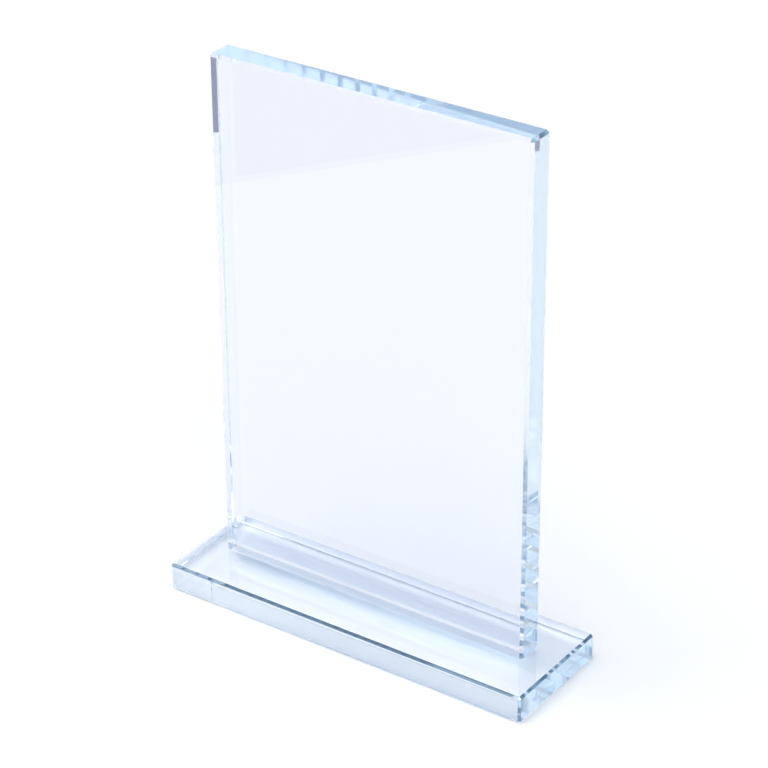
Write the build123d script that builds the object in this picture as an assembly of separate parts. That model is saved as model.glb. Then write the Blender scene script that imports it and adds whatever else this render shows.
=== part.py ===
from build123d import *
import os

# Crystal award: a tall clear glass plate standing on a low clear glass base.
# The two pieces of polished glass are held together by one film of clear
# UV-cured adhesive. Nothing moves.
#
# Frame: millimetres, +Z up, the plate's broad faces look along -Y and +Y,
# and the origin is the centre of the base's underside.

# Plate: cut from 10 mm sheet, every edge ground to a 45 degree bevel.
plate_width = 120.0
plate_height = 182.5
plate_thickness = 10.0
plate_bevel = 1.0

# Base: how far it reaches past the plate at each end and at each broad face.
base_end_margin = 10.5
base_face_margin = 17.5
base_height = 10.0
base_bevel = 0.8

# Adhesive film: it stops a little inside the flat land under the plate.
bond_thickness = 0.1
bond_setback = 0.2

base_length = plate_width + 2 * base_end_margin
base_depth = plate_thickness + 2 * base_face_margin
land_length = plate_width - 2 * plate_bevel
land_depth = plate_thickness - 2 * plate_bevel
bond_bottom = base_height
plate_bottom = bond_bottom + bond_thickness


def block(length, depth, height, bottom):
    """A plain block centred on the Z axis, standing on the level `bottom`."""
    standing = (Align.CENTER, Align.CENTER, Align.MIN)
    return Pos(0, 0, bottom) * Box(length, depth, height, align=standing)


def bevelled_block(length, depth, height, bottom, bevel):
    """A block whose twelve edges are ground to equal 45 degree bevels."""
    blank = block(length, depth, height, bottom)
    return chamfer(blank.edges(), bevel)


def glass_base():
    """The low slab that the award stands on."""
    return bevelled_block(base_length, base_depth, base_height, 0.0, base_bevel)


def adhesive_bond():
    """The cured film between the base's top face and the plate's lower land."""
    length = land_length - 2 * bond_setback
    depth = land_depth - 2 * bond_setback
    return block(length, depth, bond_thickness, bond_bottom)


def glass_plate():
    """The tall plate that carries the dedication."""
    return bevelled_block(plate_width, plate_thickness, plate_height, plate_bottom, plate_bevel)


os.makedirs("parts", exist_ok=True)
for make in (glass_base, adhesive_bond, glass_plate):
    node = make()
    node.label = make.__name__
    export_step(node, f"parts/{make.__name__}.step")
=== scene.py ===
import math

import bmesh
import bpy
import numpy as np
from bpy.props import FloatProperty, FloatVectorProperty, IntProperty, PointerProperty
from mathutils import Matrix, Vector


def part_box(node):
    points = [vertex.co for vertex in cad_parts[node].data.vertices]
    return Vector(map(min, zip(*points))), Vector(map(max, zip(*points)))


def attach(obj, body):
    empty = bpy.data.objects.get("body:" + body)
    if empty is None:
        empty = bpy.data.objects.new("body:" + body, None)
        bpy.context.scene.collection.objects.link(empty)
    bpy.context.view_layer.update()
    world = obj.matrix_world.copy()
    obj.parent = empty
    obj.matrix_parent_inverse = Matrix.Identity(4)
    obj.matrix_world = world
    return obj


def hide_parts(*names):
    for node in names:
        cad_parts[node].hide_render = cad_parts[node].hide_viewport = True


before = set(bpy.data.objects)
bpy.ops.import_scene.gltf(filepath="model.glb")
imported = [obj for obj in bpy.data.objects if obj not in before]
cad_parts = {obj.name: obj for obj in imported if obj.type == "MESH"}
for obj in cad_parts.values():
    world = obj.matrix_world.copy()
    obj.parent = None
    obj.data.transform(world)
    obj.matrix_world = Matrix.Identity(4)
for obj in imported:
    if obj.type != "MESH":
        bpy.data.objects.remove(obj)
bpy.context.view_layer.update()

bl_info = {
    "name": "Crystal award",
    "version": (1, 0, 0),
    "blender": (4, 5, 0),
    "location": "3D View > Sidebar > Award",
    "description": "Builds a bonded clear glass award, its polished glass and a soft-lit stage",
    "category": "Object",
}

MM = 0.001
BONDED = "bonded"
ARRIS = "arris"
SQUARE_ENOUGH = 0.99


# Colours and nodes

def linear(hex_colour):
    """One sRGB hex colour as linear red, green and blue."""
    digits = hex_colour.lstrip("#")
    channels = np.array([int(digits[i:i + 2], 16) for i in (0, 2, 4)]) / 255
    curve = np.where(channels <= 0.04045, channels / 12.92, ((channels + 0.055) / 1.055) ** 2.4)
    return tuple(curve.tolist())


def add_node(tree, kind, settings=None, links=None):
    """Adds one node. Settings name inputs or node properties, links name inputs and give output sockets."""
    node = tree.nodes.new(kind)
    for name, value in (settings or {}).items():
        if name in node.inputs:
            node.inputs[name].default_value = value
        else:
            setattr(node, name, value)
    for name, socket in (links or {}).items():
        tree.links.new(socket, node.inputs[name])
    return node


def empty_tree(block):
    """Switches a material or world to nodes and hands back its cleared tree."""
    block.use_nodes = True
    block.node_tree.nodes.clear()
    return block.node_tree


# Materials

def add_index(tree, index):
    """Refractive index of a surface: the glass's own in air, and 1 where adhesive joins the two blocks."""
    bonded = add_node(tree, "ShaderNodeAttribute", {"attribute_name": BONDED})
    return add_node(
        tree,
        "ShaderNodeMapRange",
        {"From Min": 0.0, "From Max": 1.0, "To Min": index, "To Max": 1.0},
        {"Value": bonded.outputs["Fac"]},
    ).outputs["Result"]


def make_glass(name, look, colour, density):
    """Polished crown glass: clear through a face, blue green where light runs the length of a block.

    A face reflects a faint mirror image, a steep edge reflects all the light that reaches it, and the
    body takes a little red out of every metre. The bevels are polished by hand on a felt wheel, which
    leaves them a trace softer than the faces.
    """
    material = bpy.data.materials.new(name)
    tree = empty_tree(material)
    arris = add_node(tree, "ShaderNodeAttribute", {"attribute_name": ARRIS})
    polish = add_node(
        tree,
        "ShaderNodeMapRange",
        {"From Min": 0.0, "From Max": 1.0, "To Min": 0.0, "To Max": look.arris_roughness},
        {"Value": arris.outputs["Fac"]},
    )
    surface = add_node(
        tree,
        "ShaderNodeBsdfPrincipled",
        {"Base Color": (*linear("#F6F8FD"), 1.0), "Transmission Weight": 1.0},
        {"Roughness": polish.outputs["Result"], "IOR": add_index(tree, look.glass_index)},
    )
    depth = add_node(
        tree,
        "ShaderNodeVolumeAbsorption",
        {"Color": (*colour, 1.0), "Density": density},
    )
    add_node(
        tree,
        "ShaderNodeOutputMaterial",
        links={"Surface": surface.outputs["BSDF"], "Volume": depth.outputs["Volume"]},
    )
    return material


def make_adhesive(name, look):
    """Ultraviolet cured acrylic adhesive: a water clear film that shows only as a hairline at its rim."""
    material = bpy.data.materials.new(name)
    tree = empty_tree(material)
    surface = add_node(
        tree,
        "ShaderNodeBsdfPrincipled",
        {
            "Base Color": (*linear("#FFFFFF"), 1.0),
            "Roughness": look.film_roughness,
            "Transmission Weight": 1.0,
        },
        {"IOR": add_index(tree, look.film_index)},
    )
    add_node(tree, "ShaderNodeOutputMaterial", links={"Surface": surface.outputs["BSDF"]})
    return material


def make_matte(name, colour):
    """Matt paper or card: soft and even, without a highlight."""
    material = bpy.data.materials.new(name)
    tree = empty_tree(material)
    surface = add_node(tree, "ShaderNodeBsdfDiffuse", {"Color": (*colour, 1.0)})
    add_node(tree, "ShaderNodeOutputMaterial", links={"Surface": surface.outputs["BSDF"]})
    return material


# Surfaces

def direction(azimuth, elevation):
    """Unit vector that way: azimuth from the front towards the right, elevation above the floor."""
    return (
        math.sin(azimuth) * math.cos(elevation),
        -math.cos(azimuth) * math.cos(elevation),
        math.sin(elevation),
    )


def outline(half_x, half_y, cut):
    """Eight points counterclockwise round a rectangle whose four corners are cut off at 45 degrees."""
    corner = np.array([[1, 1], [-1, 1], [-1, -1], [1, -1]])
    shortened = np.array([[0, 1], [1, 0], [0, 1], [1, 0]])
    reach = np.array([half_x, half_y])
    first = corner * (reach - cut * shortened)
    second = corner * (reach - cut * (1 - shortened))
    return np.stack([first, second], axis=1).reshape(-1, 2)


def stacked_block(name, rows, bonded_ends):
    """A closed block skinned through a stack of outlines and capped at both ends.

    Each row is half length, half depth, corner cut and height. Where the cut is zero the eight
    points meet in four corners, so a cut outline next to an uncut one gives the flat bevels and the
    small three-sided facets where three bevels meet. The two bonded ends say, with 1 or 0, whether
    the bottom and the top cap lie against the adhesive.
    """
    rings = np.array([np.c_[outline(x, y, cut), np.full(8, z)] for x, y, cut, z in rows])
    count, around = rings.shape[:2]
    here = np.arange(around)
    after = (here + 1) % around
    low = np.arange(count - 1)[:, None] * around
    sides = np.stack([low + here, low + after, low + around + after, low + around + here], axis=-1)
    caps = np.stack([here[::-1], here + (count - 1) * around])
    mesh = bpy.data.meshes.new(name)
    mesh.from_pydata(rings.reshape(-1, 3).tolist(), [], sides.reshape(-1, 4).tolist() + caps.tolist())
    bonded = np.zeros(len(mesh.polygons), np.float32)
    bonded[-2:] = bonded_ends
    mesh.attributes.new(BONDED, "FLOAT", "FACE").data.foreach_set("value", bonded)
    join_points(mesh)
    mark_arrises(mesh)
    piece = bpy.data.objects.new(name, mesh)
    bpy.context.scene.collection.objects.link(piece)
    return piece


def join_points(mesh):
    """Joins the points that coincide, which drops the faces that have shrunk to nothing."""
    welded = bmesh.new()
    welded.from_mesh(mesh)
    bmesh.ops.remove_doubles(welded, verts=welded.verts, dist=MM / 1000)
    welded.to_mesh(mesh)
    welded.free()


def mark_arrises(mesh):
    """Marks with 1 every bevel face: those whose normal lies along none of the three axes."""
    normals = np.empty(len(mesh.polygons) * 3, np.float32)
    mesh.polygons.foreach_get("normal", normals)
    slanted = np.abs(normals.reshape(-1, 3)).max(axis=1) < SQUARE_ENOUGH
    mesh.attributes.new(ARRIS, "FLOAT", "FACE").data.foreach_set("value", slanted.astype(np.float32))


def install(piece, material, node):
    """Gives a piece its material and record slot and lets it stand for its CAD node."""
    piece.data.materials.append(material)
    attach(piece, "root")
    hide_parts(node)


def lay_sheet(name, reach, centre, turn, material):
    """A flat sheet of the stage that faces up.

    Its corners are the four signs times its reach, turned about the vertical and moved to its centre.
    """
    corners = np.array([[-1, -1], [1, -1], [1, 1], [-1, 1]]) * tuple(reach)
    spin = np.array([[math.cos(turn), math.sin(turn)], [-math.sin(turn), math.cos(turn)]])
    points = np.c_[corners @ spin, np.zeros(4)] + tuple(centre)
    mesh = bpy.data.meshes.new(name)
    mesh.from_pydata(points.tolist(), [], [(0, 1, 2, 3)])
    sheet = bpy.data.objects.new(name, mesh)
    bpy.context.scene.collection.objects.link(sheet)
    sheet.data.materials.append(material)


# Settings

class AWARD_PG_glass(bpy.types.PropertyGroup):
    """Cut and material of the glass and of the adhesive between its two blocks."""

    plate_bevel: FloatProperty(
        name="Plate bevel",
        description="Width the polished 45 degree bevel takes off each face of the plate",
        default=1.0 * MM,
        unit="LENGTH",
    )
    base_bevel: FloatProperty(
        name="Base bevel",
        description="Width the polished 45 degree bevel takes off each face of the base",
        default=0.8 * MM,
        unit="LENGTH",
    )
    film_gap: FloatProperty(
        name="Film clearance",
        description="Sliver left between the drawn film and each block so that no two faces coincide",
        default=0.01 * MM,
        unit="LENGTH",
    )
    glass_index: FloatProperty(
        name="Glass index",
        description="Refractive index of crown glass",
        default=1.52,
    )
    film_index: FloatProperty(
        name="Film index",
        description="Refractive index of the cured adhesive",
        default=1.5,
    )
    film_roughness: FloatProperty(
        name="Film roughness",
        description="Roughness of the rim of the cured adhesive",
        default=0.1,
    )
    arris_roughness: FloatProperty(
        name="Bevel roughness",
        description="Roughness the felt wheel leaves on the bevels",
        default=0.08,
    )
    plate_colour: FloatVectorProperty(
        name="Plate colour",
        description="Light that survives as it travels through the body of the plate",
        default=linear("#B3DDEC"),
        subtype="COLOR",
    )
    plate_density: FloatProperty(
        name="Plate density",
        description="Strength of the plate colour per metre of glass",
        default=3.1,
    )
    base_colour: FloatVectorProperty(
        name="Base colour",
        description="Light that survives as it travels through the body of the base",
        default=linear("#B3DEF1"),
        subtype="COLOR",
    )
    base_density: FloatProperty(
        name="Base density",
        description="Strength of the base colour per metre of glass",
        default=4.5,
    )


class AWARD_PG_stage(bpy.types.PropertyGroup):
    """Floor, dark cards of painted shade, lights and viewpoint of the stage."""

    floor_colour: FloatVectorProperty(
        name="Floor colour",
        description="Bright white background paper",
        default=linear("#F4F4F4"),
        subtype="COLOR",
    )
    floor_reach: FloatProperty(
        name="Floor reach",
        description="Half the width of the background paper",
        default=8.0,
        unit="LENGTH",
    )
    floor_drop: FloatProperty(
        name="Floor drop",
        description="Air left under the base so that glass and paper do not coincide",
        default=0.05 * MM,
        unit="LENGTH",
    )
    # Painted shade: the grey of two flat cards laid on the paper, standing in for shaded paper that the
    # glass reflects as its dark edge lines
    shade_card_colour: FloatVectorProperty(
        name="Card colour",
        description="Dark card that puts the crisp dark lines into the glass edges",
        default=linear("#9393A6"),
        subtype="COLOR",
    )
    left_card_place: FloatVectorProperty(
        name="Left card place",
        description="Middle of the dark card on the left",
        default=(-274 * MM, -363 * MM, 0.3 * MM),
        subtype="TRANSLATION",
        unit="LENGTH",
    )
    left_card_reach: FloatVectorProperty(
        name="Left card reach",
        description="Half length and half width of the dark card on the left",
        size=2,
        default=(72 * MM, 90 * MM),
        unit="LENGTH",
    )
    left_card_turn: FloatProperty(
        name="Left card turn",
        description="Turn of the left card about the vertical",
        default=math.radians(35.11),
        subtype="ANGLE",
    )
    right_card_place: FloatVectorProperty(
        name="Right card place",
        description="Middle of the dark card on the right",
        default=(213 * MM, 341 * MM, 0.3 * MM),
        subtype="TRANSLATION",
        unit="LENGTH",
    )
    right_card_reach: FloatVectorProperty(
        name="Right card reach",
        description="Half length and half width of the dark card on the right",
        size=2,
        default=(55 * MM, 15 * MM),
        unit="LENGTH",
    )
    right_card_turn: FloatProperty(
        name="Right card turn",
        description="Turn of the right card about the vertical",
        default=math.radians(51.8),
        subtype="ANGLE",
    )
    tent_colour: FloatVectorProperty(
        name="Tent colour",
        description="Cool daylight that comes through the tent",
        default=(0.72, 0.89, 1.12),
        subtype="COLOR",
    )
    horizon_colour: FloatVectorProperty(
        name="Horizon colour",
        description="White of the lowest band of the tent, which runs into the paper",
        default=(1.0, 1.0, 1.03),
        subtype="COLOR",
    )
    horizon_top: FloatProperty(
        name="Horizon top",
        description="Height, as a sine, up to which the tent is as white as the paper",
        default=0.12,
    )
    tent_start: FloatProperty(
        name="Tent start",
        description="Height, as a sine, from which the tent has its own cool colour",
        default=0.35,
    )
    softbox_colour: FloatVectorProperty(
        name="Softbox colour",
        description="Warmer white of the softboxes",
        default=(1.0, 0.9, 0.785),
        subtype="COLOR",
    )
    wall_strength: FloatProperty(
        name="Wall strength",
        description="Brightness of the tent wall just above the floor",
        default=1.0,
    )
    wall_top: FloatProperty(
        name="Wall top",
        description="Height, as a sine, up to which the tent wall keeps its full brightness",
        default=0.2,
    )
    roof_start: FloatProperty(
        name="Roof start",
        description="Height, as a sine, from which the tent roof has its own brightness",
        default=0.8,
    )
    roof_strength: FloatProperty(
        name="Roof strength",
        description="Brightness of the tent roof",
        default=0.4,
    )
    key_azimuth: FloatProperty(
        name="Key azimuth",
        description="Direction of the main softbox, counted from the front towards the right",
        default=math.radians(-30),
        subtype="ANGLE",
    )
    key_elevation: FloatProperty(
        name="Key elevation",
        description="Height of the main softbox as an angle above the floor",
        default=math.radians(70),
        subtype="ANGLE",
    )
    key_spread: FloatProperty(
        name="Key spread",
        description="Angle from the middle of the main softbox to its faded rim",
        default=math.radians(26),
        subtype="ANGLE",
    )
    key_strength: FloatProperty(
        name="Key strength",
        description="Brightness in the middle of the main softbox",
        default=5.1,
    )
    side_azimuth: FloatProperty(
        name="Side azimuth",
        description="Direction of the side softbox, counted from the front towards the right",
        default=math.radians(35),
        subtype="ANGLE",
    )
    side_elevation: FloatProperty(
        name="Side elevation",
        description="Height of the side softbox as an angle above the floor",
        default=math.radians(38),
        subtype="ANGLE",
    )
    side_spread: FloatProperty(
        name="Side spread",
        description="Angle from the middle of the side softbox to its faded rim",
        default=math.radians(30),
        subtype="ANGLE",
    )
    side_strength: FloatProperty(
        name="Side strength",
        description="Brightness in the middle of the side softbox",
        default=2.1,
    )
    back_azimuth: FloatProperty(
        name="Back azimuth",
        description="Direction of the softbox behind the award, counted from the front towards the right",
        default=math.radians(-140),
        subtype="ANGLE",
    )
    back_elevation: FloatProperty(
        name="Back elevation",
        description="Height of the softbox behind the award as an angle above the floor",
        default=math.radians(42),
        subtype="ANGLE",
    )
    back_spread: FloatProperty(
        name="Back spread",
        description="Angle from the middle of the softbox behind the award to its faded rim",
        default=math.radians(32),
        subtype="ANGLE",
    )
    back_strength: FloatProperty(
        name="Back strength",
        description="Brightness in the middle of the softbox behind the award",
        default=0.5,
    )
    low_azimuth: FloatProperty(
        name="Low azimuth",
        description="Direction of the low softbox on the left, counted from the front towards the right",
        default=math.radians(-80),
        subtype="ANGLE",
    )
    low_elevation: FloatProperty(
        name="Low elevation",
        description="Height of the low softbox on the left as an angle above the floor",
        default=math.radians(12),
        subtype="ANGLE",
    )
    low_spread: FloatProperty(
        name="Low spread",
        description="Angle from the middle of the low softbox on the left to its faded rim",
        default=math.radians(35),
        subtype="ANGLE",
    )
    low_strength: FloatProperty(
        name="Low strength",
        description="Brightness in the middle of the low softbox on the left",
        default=0.5,
    )
    light_bounces: IntProperty(
        name="Light bounces",
        description="How often light may be reflected or refracted before it is given up",
        default=64,
    )
    camera_azimuth: FloatProperty(
        name="Camera azimuth",
        description="Direction of the viewpoint, counted from the front towards the right",
        default=math.radians(35.11),
        subtype="ANGLE",
    )
    camera_elevation: FloatProperty(
        name="Camera elevation",
        description="Height of the viewpoint above the target as an angle",
        default=math.radians(28.59),
        subtype="ANGLE",
    )
    camera_roll: FloatProperty(
        name="Camera roll",
        description="Tilt of the viewpoint about its own axis",
        default=math.radians(0.33),
        subtype="ANGLE",
    )
    camera_distance: FloatProperty(
        name="Camera distance",
        description="Distance from the viewpoint to the target",
        default=893.8 * MM,
        unit="LENGTH",
    )
    camera_target: FloatVectorProperty(
        name="Camera target",
        description="Point in the middle of the view",
        default=(7.4 * MM, -6.3 * MM, 96.3 * MM),
        subtype="TRANSLATION",
        unit="LENGTH",
    )
    camera_lens: FloatProperty(
        name="Camera lens",
        description="Focal length in millimetres on a 36 mm sensor",
        default=132.6,
    )


# Operators

class AWARD_OT_base(bpy.types.Operator):
    """Builds the glass base: a bevelled slab whose top carries the bonded footprint of the plate"""

    bl_idname = "award.base"
    bl_label = "Glass base"

    def execute(self, context):
        look = context.scene.award_glass
        low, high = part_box("glass_base")
        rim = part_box("adhesive_bond")[1]
        bevel = look.base_bevel
        rows = [
            (high.x - bevel, high.y - bevel, 0, low.z),
            (high.x, high.y, bevel, low.z + bevel),
            (high.x, high.y, bevel, high.z - bevel),
            (high.x - bevel, high.y - bevel, 0, high.z),
            (rim.x, rim.y, 0, high.z),
        ]
        piece = stacked_block("base_block", rows, (0, 1))
        glass = make_glass("base_crown_glass", look, look.base_colour, look.base_density)
        install(piece, glass, "glass_base")
        return {"FINISHED"}


class AWARD_OT_plate(bpy.types.Operator):
    """Builds the glass plate: an upright bevelled slab whose underside carries the bonded footprint"""

    bl_idname = "award.plate"
    bl_label = "Glass plate"

    def execute(self, context):
        look = context.scene.award_glass
        low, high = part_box("glass_plate")
        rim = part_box("adhesive_bond")[1]
        bevel = look.plate_bevel
        rows = [
            (rim.x, rim.y, 0, low.z),
            (high.x - bevel, high.y - bevel, 0, low.z),
            (high.x, high.y, bevel, low.z + bevel),
            (high.x, high.y, bevel, high.z - bevel),
            (high.x - bevel, high.y - bevel, 0, high.z),
        ]
        piece = stacked_block("plate_block", rows, (1, 0))
        glass = make_glass("plate_crown_glass", look, look.plate_colour, look.plate_density)
        install(piece, glass, "glass_plate")
        return {"FINISHED"}


class AWARD_OT_film(bpy.types.Operator):
    """Builds the cured adhesive film that holds the plate on the base"""

    bl_idname = "award.film"
    bl_label = "Adhesive film"

    def execute(self, context):
        look = context.scene.award_glass
        low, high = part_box("adhesive_bond")
        rows = [
            (high.x, high.y, 0, low.z + look.film_gap),
            (high.x, high.y, 0, high.z - look.film_gap),
        ]
        piece = stacked_block("bond_film", rows, (1, 1))
        adhesive = make_adhesive("cured_acrylic_adhesive", look)
        install(piece, adhesive, "adhesive_bond")
        return {"FINISHED"}


class AWARD_OT_stage(bpy.types.Operator):
    """Sets up the pale floor, the dark cards that paint shade onto the paper, the soft light and the camera
    """

    bl_idname = "award.stage"
    bl_label = "Stage"

    def execute(self, context):
        look = context.scene.award_stage
        paper = make_matte("background_paper", look.floor_colour)
        dark = make_matte("dark_card", look.shade_card_colour)
        lay_sheet("floor", (look.floor_reach, look.floor_reach), (0, 0, -look.floor_drop), 0, paper)
        # The two cards are painted shade: grey sheets on the paper where the glass should reflect paper in
        # shade
        for card in ("left_card", "right_card"):
            reach, place, turn = (getattr(look, card + part) for part in ("_reach", "_place", "_turn"))
            lay_sheet(card, reach, place, turn, dark)
        self.light_stage(context.scene, look)
        self.trace_through(context.scene.cycles, look)
        self.place_camera(context.scene, look)
        return {"FINISHED"}

    def light_stage(self, scene, look):
        """A tent of light that surrounds the stage from afar, with four softboxes behind its cloth."""
        scene.world = bpy.data.worlds.new("light_tent")
        tree = empty_tree(scene.world)
        outward = add_node(tree, "ShaderNodeTexCoord").outputs["Generated"]
        height = add_node(tree, "ShaderNodeSeparateXYZ", links={"Vector": outward}).outputs["Z"]
        wall = add_node(
            tree,
            "ShaderNodeMapRange",
            {
                "interpolation_type": "SMOOTHSTEP",
                "From Min": look.wall_top,
                "From Max": look.roof_start,
                "To Min": look.wall_strength,
                "To Max": look.roof_strength,
            },
            {"Value": height},
        )
        rise = add_node(
            tree,
            "ShaderNodeMapRange",
            {
                "interpolation_type": "SMOOTHSTEP",
                "From Min": look.horizon_top,
                "From Max": look.tent_start,
            },
            {"Value": height},
        )
        tent = add_node(tree, "ShaderNodeMixShader", links={"Fac": rise.outputs["Result"]})
        for socket, colour in ((1, look.horizon_colour), (2, look.tent_colour)):
            cloth = add_node(
                tree,
                "ShaderNodeBackground",
                {"Color": (*colour, 1.0)},
                {"Strength": wall.outputs["Result"]},
            )
            tree.links.new(cloth.outputs["Background"], tent.inputs[socket])
        light = tent.outputs["Shader"]
        for softbox in ("key", "side", "back", "low"):
            light = self.add_softbox(tree, outward, light, look, softbox)
        add_node(tree, "ShaderNodeOutputWorld", links={"Surface": light})
        scene.view_settings.view_transform = "Standard"

    def add_softbox(self, tree, outward, light, look, softbox):
        """Adds a round patch of light, brightest in its middle, and hands back the light so far.

        The brightness rises smoothly with the cosine of the angle to the middle of the patch.
        """
        azimuth, elevation, spread, strength = (
            getattr(look, softbox + part) for part in ("_azimuth", "_elevation", "_spread", "_strength")
        )
        nearness = add_node(tree, "ShaderNodeVectorMath", {"operation": "DOT_PRODUCT"})
        nearness.inputs[1].default_value = direction(azimuth, elevation)
        tree.links.new(outward, nearness.inputs[0])
        patch = add_node(
            tree,
            "ShaderNodeMapRange",
            {
                "interpolation_type": "SMOOTHSTEP",
                "From Min": math.cos(spread),
                "From Max": 1.0,
                "To Min": 0.0,
                "To Max": strength,
            },
            {"Value": nearness.outputs["Value"]},
        )
        lamp = add_node(
            tree,
            "ShaderNodeBackground",
            {"Color": (*look.softbox_colour, 1.0)},
            {"Strength": patch.outputs["Result"]},
        )
        total = add_node(tree, "ShaderNodeAddShader")
        tree.links.new(light, total.inputs[0])
        tree.links.new(lamp.outputs["Background"], total.inputs[1])
        return total.outputs["Shader"]

    def trace_through(self, cycles, look):
        """Lets light turn often enough inside the blocks, and keeps all the light it brings back."""
        cycles.max_bounces = look.light_bounces
        cycles.glossy_bounces = look.light_bounces
        cycles.transmission_bounces = look.light_bounces
        cycles.transparent_max_bounces = look.light_bounces
        cycles.blur_glossy = 0.0
        cycles.sample_clamp_indirect = 0.0

    def place_camera(self, scene, look):
        """A viewpoint at the front right, a little above the award, with a slight roll."""
        turn, roll = look.camera_azimuth, look.camera_roll
        forward = -Vector(direction(turn, look.camera_elevation))
        level = Vector((math.cos(turn), math.sin(turn), 0))
        upward = level.cross(forward)
        across = level * math.cos(roll) - upward * math.sin(roll)
        lens = bpy.data.cameras.new("camera")
        lens.lens = look.camera_lens
        camera = bpy.data.objects.new("camera", lens)
        pose = Matrix((across, across.cross(forward), -forward)).transposed().to_4x4()
        pose.translation = Vector(look.camera_target) - forward * look.camera_distance
        camera.matrix_world = pose
        scene.collection.objects.link(camera)
        scene.camera = camera


class AWARD_PT_panel(bpy.types.Panel):
    """Settings and build buttons of the award"""

    bl_idname = "AWARD_PT_panel"
    bl_label = "Crystal award"
    bl_space_type = "VIEW_3D"
    bl_region_type = "UI"
    bl_category = "Award"

    def draw(self, context):
        layout = self.layout
        for settings in (context.scene.award_glass, context.scene.award_stage):
            box = layout.box()
            for name in settings.__annotations__:
                box.prop(settings, name)
        for operator in OPERATORS:
            layout.operator(operator.bl_idname)


OPERATORS = (AWARD_OT_base, AWARD_OT_plate, AWARD_OT_film, AWARD_OT_stage)
CLASSES = (AWARD_PG_glass, AWARD_PG_stage, *OPERATORS, AWARD_PT_panel)


def register():
    """Adds the settings, the build operators and the panel to Blender."""
    for cls in CLASSES:
        bpy.utils.register_class(cls)
    bpy.types.Scene.award_glass = PointerProperty(type=AWARD_PG_glass)
    bpy.types.Scene.award_stage = PointerProperty(type=AWARD_PG_stage)


def unregister():
    """Takes everything the add-on brought out of Blender again."""
    del bpy.types.Scene.award_stage
    del bpy.types.Scene.award_glass
    for cls in reversed(CLASSES):
        bpy.utils.unregister_class(cls)


def main():
    """Builds the three pieces and the stage."""
    register()
    bpy.ops.award.base()
    bpy.ops.award.plate()
    bpy.ops.award.film()
    bpy.ops.award.stage()


if __name__ == "__main__":
    main()
